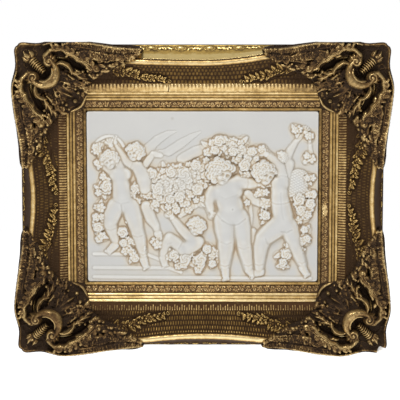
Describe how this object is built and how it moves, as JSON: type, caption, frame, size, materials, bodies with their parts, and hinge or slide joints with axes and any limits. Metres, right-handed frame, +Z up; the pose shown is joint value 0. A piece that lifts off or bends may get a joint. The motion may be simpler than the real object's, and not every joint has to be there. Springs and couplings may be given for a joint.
{
  "type": "framed bas-relief",
  "caption": "Cast white bas-relief of putti among garlands in a deep gilt moulded frame with scrolled corner ornaments, made to hang on a wall",
  "frame": {"origin": "the wall mount: the middle of the hanger on the flat back of the top rail", "axes": "+Z up, +X to the viewer's right, the front faces -Y and the flat back lies in the plane y = 0"},
  "size_m": [0.6378, 0.0793, 0.5378],
  "materials": {
    "frame_gilt": "gilded, rubbed and toned dark in the hollows",
    "ornament_gilt": "gilded composition casting, toned dark in the hollows",
    "plaque_white": "matt white cast stone with a tan wash in the hollows",
    "board_wood": "plain fibreboard",
    "hanger_steel": "plain zinc-plated steel"
  },
  "bodies": {
    "root": {"frame_moulding": "frame_gilt", "corner_ornament_top_left": "ornament_gilt", "corner_ornament_top_right": "ornament_gilt", "corner_ornament_bottom_left": "ornament_gilt", "corner_ornament_bottom_right": "ornament_gilt", "relief_plaque": "plaque_white", "backing_board": "board_wood", "hanger": "hanger_steel"}
  },
  "joints": []
}
